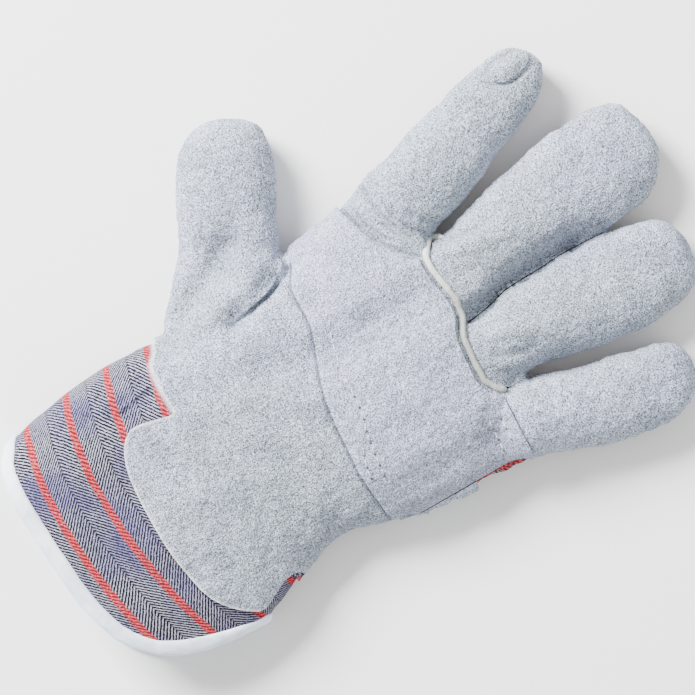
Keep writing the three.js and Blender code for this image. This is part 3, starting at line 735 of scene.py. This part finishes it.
def from_hem(inwards, offset):
    """Points at a distance in from the hem and square to it, all the way round."""
    before, after = np.roll(hem_plan, 1, 0), np.roll(hem_plan, -1, 0)
    before[0, 0] -= girth
    after[-1, 0] += girth
    run = after - before
    run /= np.hypot(*run.T)[:, None]
    place = hem_plan + np.stack([-run[:, 1], run[:, 0]], 1) * np.reshape(inwards, (-1, 1))
    turn = np.interp(place[:, 0] % girth, ruler_lengths, ruler_turns)
    return cloth(place[:, 1], turn, offset)


def stripe_height(p):
    """How far a point of the cuff lies along the arm, measured across the canvas stripes, which bow to the hem."""
    x = p[:, 0] - 5
    bow = np.where(x < 0, 6 * (x / 38) ** 2, 10 * (x / 64) ** 2)
    return p[:, 1] - bow


def cuff_rows(offset, rows):
    edge = from_hem(BINDING_WALL + GAP, offset)
    out = []
    for share in np.linspace(0, 1, rows):
        y = CUFF_TUCK + (edge[:, 1] - CUFF_TUCK) * share
        turn = cuff_turns
        out.append(cloth(y, turn, offset))
    out[-1] = edge
    return out


def cuff_relief(p):
    """Soft waves of the canvas, and the small pleat beside the leather flap."""
    over = smoothstep(p[:, 2], SEAM_HEIGHT, SEAM_HEIGHT + 8)
    wave = 0.35 * lumps(p, 22, 11) + 0.12 * lumps(p, 8, 12)
    away, along, side = from_line([(-21, -8), (-18.5, -21)], p[:, :2])
    pleat = -1.1 * np.exp(-((away / 1.1) ** 2)) + 0.5 * np.exp(-((away / 3) ** 2)) * (side < 0)
    return wave, pleat * over


ROWS = 96
outside, inside = cuff_rows(CUFF_OFFSET - 0.1, ROWS), cuff_rows(CUFF_OFFSET - CANVAS_WALL, ROWS // 3)
cuff_points = np.concatenate(inside + outside[::-1])
cuff_faces = ring_faces(ROWS + ROWS // 3, AROUND, wrap=True)
cuff_mesh = raw_mesh("cuff", cuff_points, cuff_faces)
normal = normals_of(cuff_mesh)
wave, pleat = cuff_relief(cuff_points)
row_share = np.concatenate([np.zeros(len(inside)), np.linspace(1, 0, ROWS)]).repeat(AROUND)
shown = (np.arange(len(cuff_points)) >= len(inside) * AROUND) * smoothstep(1 - row_share, 0.02, 0.16)
cuff_points = cuff_points + normal * ((wave + pleat) * shown)[:, None]
set_points(cuff_mesh, cuff_points)


def binding_mesh():
    skin_at = CUFF_OFFSET - 0.1
    top, low = skin_at + TAPE_RISE, CUFF_OFFSET - CANVAS_WALL - TAPE_RISE
    profile = [(5.7, skin_at - 0.05), (5.9, skin_at + 0.35), (5.6, top - 0.35), (4.7, top - 0.1), (3.3, top + 0.1),
               (1.8, top), (0.8, top - 0.3), (0.2, top - 0.9), (0.0, (top + low) / 2), (0.2, low + 0.9),
               (0.8, low + 0.3), (1.8, low), (3.2, low), (4.6, low + 0.1), (5.4, low + 0.4), (5.6, low + 0.8),
               (3.6, low + TAPE_WALL), (1.3, low + TAPE_WALL), (1.3, top - TAPE_WALL), (3.6, top - TAPE_WALL),
               (5.0, skin_at + 0.02)]
    arc = hem_plan[:, :1]
    waver = 0.10 * lumps(arc, 17, 21) + 0.05 * lumps(arc, 6, 22)
    from_side = np.minimum(np.degrees(cuff_turns) % 360, -np.degrees(cuff_turns) % 360)
    narrow = 1 - 0.35 * smoothstep(30 - from_side, 0, 20)
    rings = []
    for k, (inwards, offset) in enumerate(profile):
        puff = 0.1 * lumps(arc + 7 * k, 9, 23) if 2 < k < 8 else 0
        rings.append(from_hem(inwards * narrow + waver * (inwards / 5.6), offset + puff))
    return raw_mesh("binding", np.concatenate(rings), ring_faces(len(profile), AROUND, wrap=True))


# Round cords and threads
def surface_height(tree, x, y):
    hit = tree.ray_cast(Vector((x, y, SKY)), Vector((0, 0, -1)))
    return hit[0][2] if hit[0] is not None else SEAM_HEIGHT


def tree_of(mesh):
    return BVHTree.FromPolygons([Vector(p) for p in points_of(mesh)], [list(f.vertices) for f in mesh.polygons])


def tube(path, radius, sides=12, flat=1.0):
    """A closed round cord along a path, as points and faces. radius: one number for each place on the path."""
    path = np.asarray(path, float)
    run = np.gradient(path, axis=0)
    run /= np.linalg.norm(run, axis=1)[:, None]
    side = np.cross(run, [0, 0, 1])
    side /= np.linalg.norm(side, axis=1)[:, None]
    up = np.cross(side, run)
    turn = np.arange(sides) / sides * 2 * math.pi
    radius = np.broadcast_to(radius, len(path))
    rings = [path[i] + radius[i] * (np.outer(np.cos(turn), side[i]) + flat * np.outer(np.sin(turn), up[i]))
             for i in range(len(path))]
    return capped(rings, path[0], path[-1])


def welt_mesh():
    line = soft_line([(-14.3, 112.8), *WELT_LINE[1:-2], (43.5, 102.6), (45, 105)], 0.6)
    tree = tree_of(outer)
    z = np.array([surface_height(tree, x, y) for x, y in line])
    kernel = np.ones(9) / 9
    z = np.convolve(np.pad(z, 4, "edge"), kernel, "valid")
    along = np.arange(len(line))[:, None] * 0.6
    ends = np.sqrt(np.clip(np.minimum(along[:, 0], along[::-1, 0]) / 1.6, 0.02, 1))
    radius = (1.2 + 0.08 * lumps(along, 6, 31) + 0.03 * lumps(along, 2.5, 32)) * ends
    path = np.c_[line + 0.15 * np.stack([lumps(along, 8, 33), lumps(along, 8, 34)], 1), z + 0.7]
    return raw_mesh("welt", *tube(path, radius, 14, 0.85))


def stitches():
    """Threads on the palm's second layer, and between them dark plugs that paint the shade in each needle hole."""
    tree = tree_of(patch_mesh)
    threads, hole_shades = [], []
    for row in STITCH_ROWS:
        line = soft_line(row, 0.1)
        count = int(len(line) * 0.1 / STITCH_PITCH)
        for k in range(count):
            start = int(k * STITCH_PITCH * 10)
            bit = line[start : start + int(STITCH_LENGTH * 10)]
            if len(bit) < 10:
                continue
            bit = bit[:: max(len(bit) // 8, 1)]
            share = np.linspace(-1, 1, len(bit))
            z = np.array([surface_height(tree, x, y) for x, y in bit])
            path = np.c_[bit, z + 0.16 - 0.4 * share**4]
            threads.append(tube(path, THREAD * np.sqrt(np.clip(1.05 - share**6, 0.05, 1)), 7))
            # Past HOLES_FROM, a dark plug sits in the needle hole after each thread: painted shade inside the hole.
            x, y = bit[-1] + (bit[-1] - bit[0]) / np.hypot(*(bit[-1] - bit[0])) * 0.6
            if x < HOLES_FROM:
                continue
            height = surface_height(tree, x, y)
            rim = np.arange(8) / 8 * 2 * math.pi
            top = np.c_[x + 0.46 * np.cos(rim), y + 0.46 * np.sin(rim), np.full(8, height + 0.1)]
            low = top - [0, 0, 0.6]
            hole_shades.append(capped([low, top], low.mean(0), top.mean(0)))
    return raw_mesh("threads", *joined(threads)), raw_mesh("hole_shades", *joined(hole_shades))


# Materials
class Look:
    """A procedural material. Lengths in its nodes are millimetres."""

    def __init__(self, name, roughness, sheen=0.0):
        self.material = bpy.data.materials.new(name)
        self.material.use_nodes = True
        self.tree = self.material.node_tree
        self.shader = self.tree.nodes["Principled BSDF"]
        self.shader.inputs["Roughness"].default_value = roughness
        self.shader.inputs["Specular IOR Level"].default_value = 0.2
        self.shader.inputs["Sheen Weight"].default_value = sheen
        self.shader.inputs["Sheen Roughness"].default_value = 0.6
        coordinates = self.tree.nodes.new("ShaderNodeTexCoord")
        scale = self.tree.nodes.new("ShaderNodeVectorMath")
        scale.operation = "SCALE"
        scale.inputs["Scale"].default_value = 1000
        self.tree.links.new(coordinates.outputs["Object"], scale.inputs[0])
        self.place = scale.outputs[0]

    def link(self, value, socket):
        if isinstance(value, bpy.types.NodeSocket):
            self.tree.links.new(value, socket)
        else:
            socket.default_value = value

    def math(self, operation, a, b=0.0, c=0.0):
        node = self.tree.nodes.new("ShaderNodeMath")
        node.operation = operation
        for value, socket in zip((a, b, c), node.inputs):
            self.link(value, socket)
        return node.outputs[0]

    def noise(self, size, detail=2.0, rough=0.5, stretch=None):
        node = self.tree.nodes.new("ShaderNodeTexNoise")
        node.inputs["Scale"].default_value = 1 / size
        node.inputs["Detail"].default_value = detail
        node.inputs["Roughness"].default_value = rough
        place = self.place
        if stretch:
            mapping = self.tree.nodes.new("ShaderNodeMapping")
            mapping.inputs["Rotation"].default_value = (0, 0, math.radians(stretch[0]))
            mapping.inputs["Scale"].default_value = (stretch[1], 1, 1)
            self.tree.links.new(place, mapping.inputs["Vector"])
            place = mapping.outputs[0]
        self.tree.links.new(place, node.inputs["Vector"])
        return node.outputs["Fac"]

    def span(self, value, low, high, to_low=0.0, to_high=1.0):
        node = self.tree.nodes.new("ShaderNodeMapRange")
        for socket, number in zip(node.inputs[1:5], (low, high, to_low, to_high)):
            socket.default_value = number
        self.link(value, node.inputs[0])
        return node.outputs[0]

    def mix(self, share, a, b, blend="MIX"):
        node = self.tree.nodes.new("ShaderNodeMix")
        node.data_type = "RGBA"
        node.blend_type = blend
        self.link(share, node.inputs[0])
        for value, socket in ((a, node.inputs[6]), (b, node.inputs[7])):
            self.link(value if isinstance(value, bpy.types.NodeSocket) else (*value, 1), socket)
        return node.outputs[2]

    def attribute(self, name):
        node = self.tree.nodes.new("ShaderNodeAttribute")
        node.attribute_name = name
        return node.outputs["Fac"]

    def finish(self, colour, height, strength, distance):
        self.tree.links.new(colour, self.shader.inputs["Base Color"])
        bump = self.tree.nodes.new("ShaderNodeBump")
        bump.inputs["Strength"].default_value = strength
        bump.inputs["Distance"].default_value = distance / 1000
        self.tree.links.new(height, bump.inputs["Height"])
        self.tree.links.new(bump.outputs[0], self.shader.inputs["Normal"])
        return self.material


def suede(name, light, dark, tint, contrast):
    look = Look(name, 0.95, 0.05)
    grain = look.noise(0.52, 1.0, 0.5)
    nap = look.noise(1.3, 2.0, 0.6, (35, 0.7))
    cloud = look.noise(15, 3.0, 0.55)
    broad = look.noise(45, 2.0, 0.5)
    colour = look.mix(look.span(cloud, 0.35, 0.65), dark, light)
    colour = look.mix(look.span(broad, 0.4, 0.62, 0, 0.6), colour, tint)
    colour = look.mix(1.0, colour, look.span(nap, 0.3, 0.7, 0.84, 1.16), "MULTIPLY")
    colour = look.mix(1.0, colour, look.span(grain, 0.32, 0.68, 1.09 - contrast, 1.09 + contrast), "MULTIPLY")
    colour = look.mix(look.math("MULTIPLY", look.attribute("worn"), 0.75), colour, (0.78, 0.78, 0.78))
    # Painted shade: the 'shade' value darkens the leather towards a deep tone. It stands in for shadow in creases,
    # under edges and on slopes turned from the light.
    colour = look.mix(look.attribute("shade"), colour, [c * 0.3 for c in dark])
    height = look.math("ADD", grain, nap)
    return look.finish(colour, height, 0.8, 0.9)


def canvas(name):
    look = Look(name, 0.9)
    look.shader.inputs["Specular IOR Level"].default_value = 0.05
    uv = look.tree.nodes.new("ShaderNodeUVMap")
    uv.uv_map = "weave"
    split = look.tree.nodes.new("ShaderNodeSeparateXYZ")
    look.tree.links.new(uv.outputs[0], split.inputs[0])
    along, across = split.outputs[0], split.outputs[1]
    wobble = look.math("MULTIPLY", look.math("SUBTRACT", look.noise(7, 2.0), 0.5), 0.9)
    across = look.math("ADD", across, wobble)
    in_pitch = look.math("MULTIPLY", look.math("WRAP", look.math("DIVIDE", across, STRIPE_PITCH), 1.0, 0.0), STRIPE_PITCH)
    from_apex = look.math("ABSOLUTE", look.math("SUBTRACT", in_pitch, STRIPE_PITCH / 2))
    slant = look.math("ADD", look.math("DIVIDE", along, TWILL_PITCH), look.math("DIVIDE", from_apex, TWILL_PITCH * 0.9))
    jitter = look.math("MULTIPLY", look.math("SUBTRACT", look.noise(0.9, 2.0), 0.5), 0.6)
    wave = look.math("SINE", look.math("MULTIPLY", look.math("ADD", slant, jitter), 2 * math.pi))
    twill = look.span(wave, 0.15, 0.5)
    one_way = look.math("ADD", look.math("DIVIDE", along, 1.7), look.math("DIVIDE", across, 1.7))
    red_wave = look.math("SINE", look.math("MULTIPLY", look.math("ADD", one_way, jitter), 2 * math.pi))
    thread = look.noise(0.6, 2.0, 0.6)
    zone = look.span(look.noise(19, 2.0, 0.5), 0.40, 0.70, 0.1, 0.95)
    dark = look.mix(zone, (0.004, 0.004, 0.008), (0.016, 0.014, 0.045))
    light = look.mix(zone, (0.37, 0.375, 0.43), (0.175, 0.16, 0.30))
    cloth_colour = look.mix(twill, dark, light)
    red = look.mix(look.span(red_wave, -0.4, 0.6), (0.15, 0.008, 0.014), (0.52, 0.06, 0.065))
    from_stripe = look.math("SUBTRACT", STRIPE_PITCH / 2, from_apex)
    in_stripe = look.span(from_stripe, STRIPE_WIDTH / 2 + 0.25, STRIPE_WIDTH / 2 - 0.25)
    colour = look.mix(in_stripe, cloth_colour, red)
    colour = look.mix(look.span(thread, 0.46, 0.34, 0, 0.75), colour, (0.02, 0.02, 0.03))
    colour = look.mix(look.span(thread, 0.60, 0.74, 0, 0.5), colour, (0.50, 0.50, 0.58))
    seam_dark = look.span(from_apex, 0.6, 0.2, 0, 0.4)
    colour = look.mix(seam_dark, colour, (0.01, 0.01, 0.02))
    colour = look.mix(look.math("MULTIPLY", look.attribute("worn"), 0.85), colour, (0.58, 0.60, 0.68))
    height = look.math("ADD", twill, look.math("MULTIPLY", thread, 0.6))
    return look.finish(colour, height, 0.55, 0.4)


def tape(name):
    look = Look(name, 0.85, 0.1)
    weave = look.noise(0.5, 2.0, 0.6)
    cloud = look.noise(9, 3.0, 0.6)
    colour = look.mix(look.span(cloud, 0.35, 0.65), (0.62, 0.70, 0.79), (0.82, 0.90, 0.98))
    colour = look.mix(look.span(weave, 0.42, 0.32, 0, 0.4), colour, (0.42, 0.46, 0.5))
    return look.finish(colour, look.math("ADD", weave, look.math("MULTIPLY", cloud, 3.0)), 0.4, 0.4)


def piping(name):
    look = Look(name, 0.85, 0.1)
    grain = look.noise(0.8, 3.0, 0.6)
    cloud = look.noise(7, 2.0, 0.6)
    colour = look.mix(look.attribute("worn"), (0.31, 0.325, 0.30), (0.62, 0.64, 0.60))
    colour = look.mix(look.span(cloud, 0.35, 0.65, 0, 0.25), colour, (0.66, 0.68, 0.62))
    colour = look.mix(look.span(grain, 0.45, 0.35, 0, 0.6), colour, (0.26, 0.27, 0.24))
    return look.finish(colour, grain, 0.6, 0.5)


def plain(name, colour, other):
    look = Look(name, 0.9)
    colour = look.mix(look.span(look.noise(0.5), 0.4, 0.6), colour, other)
    return look.finish(colour, look.noise(0.4), 0.4, 0.1)


STRIPE_PITCH = 17.25
STRIPE_WIDTH = 2.8
TWILL_PITCH = 1.5

LEATHER = suede("suede_leather", (0.325, 0.36, 0.455), (0.235, 0.262, 0.33), (0.29, 0.335, 0.375), 0.83)
PATCH_LEATHER = suede("suede_patch", (0.36, 0.385, 0.495), (0.28, 0.305, 0.40), (0.33, 0.365, 0.445), 0.72)
CANVAS = canvas("striped_canvas")
TAPE = tape("binding_tape")
PIPING = piping("pale_piping")
THREAD_LOOK = plain("white_thread", (0.66, 0.68, 0.72), (0.50, 0.52, 0.56))
# Near-black colour for the needle-hole plugs: painted shade inside each needle hole.
HOLE_SHADE_LOOK = plain("needle_hole_shade", (0.06, 0.062, 0.075), (0.03, 0.032, 0.04))


# Finished pieces
def finished(name, mesh, material, nodes, angle=50):
    points = points_of(mesh)
    points[:, :2] += CENTRE
    set_points(mesh, points / 1000)
    mesh.name = name
    mesh.materials.clear()
    mesh.materials.append(material)
    mesh.polygons.foreach_set("use_smooth", [True] * len(mesh.polygons))
    mesh.set_sharp_from_angle(angle=math.radians(angle))
    obj = bpy.data.objects.new(name, mesh)
    bpy.context.scene.collection.objects.link(obj)
    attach(obj, "root")
    if nodes:
        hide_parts(*nodes)
    return obj


def set_value(mesh, name, values):
    attribute = mesh.attributes.new(name, "FLOAT", "POINT")
    attribute.data.foreach_set("value", np.asarray(values, np.float32))


def set_weave(mesh, along, across):
    """The canvas's own coordinates in millimetres: along its stripes and across them."""
    layer = mesh.uv_layers.new(name="weave")
    corners = np.empty(len(mesh.loops), np.int32)
    mesh.loops.foreach_get("vertex_index", corners)
    layer.data.foreach_set("uv", np.stack([along[corners], across[corners]], 1).astype(np.float32).ravel())


# Per-point values for the leather: 'worn' lightens frayed raw edges. 'shade' is painted shade, darkening along the
# narrow creases and along the given strokes of line, width and amount.
def leather_values(mesh, edges, shades=()):
    p = points_of(mesh)
    worn = np.zeros(len(p))
    for line, width in edges:
        away = from_line(line, p[:, :2])[0]
        worn = np.maximum(worn, np.exp(-((away / width) ** 2)))
    set_value(mesh, "worn", worn * smoothstep(p[:, 2], SEAM_HEIGHT, SEAM_HEIGHT + 3))
    shade = np.zeros(len(p))
    # Painted shade along each narrow crease, darker where the crease is deeper.
    grooves = [(soft_line(crease["line"], 2.0), crease["reach"], -crease["rise"]) for crease in CREASES
               if crease["rise"] < 0 and crease["reach"] < 2]
    for line, width, rise in grooves:
        away, along, _ = from_line(line, p[:, :2])
        ends = smoothstep(along, 0, 0.1) * smoothstep(1 - along, 0, 0.5)
        shade = np.maximum(shade, min(0.3 * rise, 0.5) * ends * np.exp(-((away / width) ** 2)))
    for line, width, amount in shades:
        away = from_line(line, p[:, :2])[0]
        shade = np.maximum(shade, amount * np.exp(-((away / width) ** 2)))
    set_value(mesh, "shade", shade)


flap_edge = FRONT[11:30]
# Painted shade strokes: a painted shadow under the patch's lower edge, darker thumb valleys and thumb crease, and
# darker slopes of the palm, the heel and the little-finger side.
leather_values(palm_mesh, [(flap_edge, 0.7)], [
    (patch_foot, 0.6, 0.85),
    ([(-52, 46), (-44, 30), (-38, 12)], 6, 0.14),
    ([(-36, 57.4), (-33, 58), (-31.2, 56.2), (-29.6, 51.2), (-28, 44.5), (-27, 39)], 0.7, 0.42),
    ([(0, 40), (6, 24)], 7, 0.2),
    ([(58, 40), (56, 28), (56, 15)], 8, 0.32),
    ([(30, 20), (34, 0), (40, -14)], 12, 0.14),
])
# Painted shade on the two fingers: the slit, the middle finger's slope down into it, the ring finger's right side, and
# a darker strip beside the welt.
leather_values(two_mesh, [], [
    (SLIT, 0.9, 0.55),
    ([(x - 2.5, y) for x, y in SLIT[2:]], 3.5, 0.42),
    ([(x - 6, y) for x, y in SLIT[3:]], 6, 0.22),
    ([(39, 104), (42, 114), (44, 126), (47, 138)], 3, 0.25),
    ([(x, y + 3) for x, y in WELT_LINE], 2.5, 0.14),
])
# Painted shade on the patch: its right side, which rolls away from the light, and a valley down its middle.
leather_values(patch_mesh, [], [
    ([(62, 48), (61, 70), (61, 92)], 10, 0.4),
    ([(-4, 76), (2, 54)], 5, 0.22),
])
leather_values(thumb_mesh, [], [])
leather_values(strap_mesh, [], [])
leather_values(lip_mesh, [], [])

back_points = points_of(back_mesh)
broad = relaxed(inner, normals_of(inner), 14)
finder = KDTree(len(broad))
for index, p in enumerate(points_of(inner)):
    finder.insert(p, index)
finder.balance()
wrap = broad[[finder.find(p)[1] for p in back_points]] * back_points[:, 2:]
set_weave(back_mesh, back_points[:, 1] + wrap[:, 1], back_points[:, 0] - 79.7 + wrap[:, 0])
set_weave(cuff_mesh, np.tile(hem_plan[:, 0], ROWS + ROWS // 3), stripe_height(cuff_points) + 59)
set_value(back_mesh, "worn", np.zeros(len(back_points)))
set_value(cuff_mesh, "worn", np.exp(-((from_line(flap_edge[:5], cuff_points[:, :2])[0] / 0.9) ** 2)))

welt = welt_mesh()
set_value(welt, "worn", smoothstep(-points_of(welt)[:, 0], -12, 8))
thread_mesh, hole_shade_mesh = stitches()
finished("glove_palm", palm_mesh, LEATHER, ["palm_panel"])
finished("glove_two_fingers", two_mesh, LEATHER, ["two_finger_panel"])
finished("glove_welt", welt, PIPING, ["finger_welt"])
finished("glove_patch", patch_mesh, PATCH_LEATHER, ["palm_patch"])
finished("glove_index_lip", lip_mesh, LEATHER, ["index_tip"])
finished("glove_back", back_mesh, CANVAS, ["back_panel"])
finished("glove_thumb_back", thumb_mesh, LEATHER, ["thumb_back"])
finished("glove_strap", strap_mesh, LEATHER, ["knuckle_strap"])
finished("glove_cuff", cuff_mesh, CANVAS, ["cuff"])
finished("glove_binding", binding_mesh(), TAPE, ["cuff_binding"])
finished("palm_threads", thread_mesh, THREAD_LOOK, [])
finished("palm_needle_hole_shades", hole_shade_mesh, HOLE_SHADE_LOOK, [])

# Floor, light and camera
bpy.ops.mesh.primitive_plane_add(size=6, location=(0, 0, -0.0002))
floor = bpy.context.object
floor.name = "floor"
floor_look = bpy.data.materials.new("floor")
floor_look.use_nodes = True
floor_look.node_tree.nodes["Principled BSDF"].inputs["Base Color"].default_value = (0.9, 0.9, 0.9, 1)
floor_look.node_tree.nodes["Principled BSDF"].inputs["Roughness"].default_value = 0.9
floor.data.materials.append(floor_look)


def area_light(name, energy, size, place, aim=(0, 0, 0)):
    light = bpy.data.lights.new(name, "AREA")
    light.energy = energy
    light.size = size
    obj = bpy.data.objects.new(name, light)
    obj.location = place
    obj.rotation_mode = "QUATERNION"
    obj.rotation_quaternion = (Vector(aim) - Vector(place)).to_track_quat("-Z", "Y")
    bpy.context.scene.collection.objects.link(obj)


area_light("key", 128, 0.7, (-1.2, -0.4, 0.95))
area_light("fill", 10, 1.6, (1.0, 0.8, 1.3))
world = bpy.data.worlds.new("studio")
world.use_nodes = True
world.node_tree.nodes["Background"].inputs["Color"].default_value = (1, 1, 1, 1)
world.node_tree.nodes["Background"].inputs["Strength"].default_value = 1.02
bpy.context.scene.world = world

PHOTO_WIDTH = 0.2537
LENS = 200
camera = bpy.data.objects.new("camera", bpy.data.cameras.new("camera"))
camera.data.lens = LENS
camera.data.sensor_width = 36
right = Vector((0.5, 0.866, 0)).normalized()
upward = Vector((-0.866, 0.5, 0)).normalized()
camera.rotation_mode = "QUATERNION"
camera.rotation_quaternion = Matrix((right, upward, right.cross(upward))).transposed().to_quaternion()
camera.location = (0.00754, -0.00147, 0.014 + PHOTO_WIDTH / 36 * LENS)
camera.data.clip_end = 10
bpy.context.scene.collection.objects.link(camera)
bpy.context.scene.camera = camera
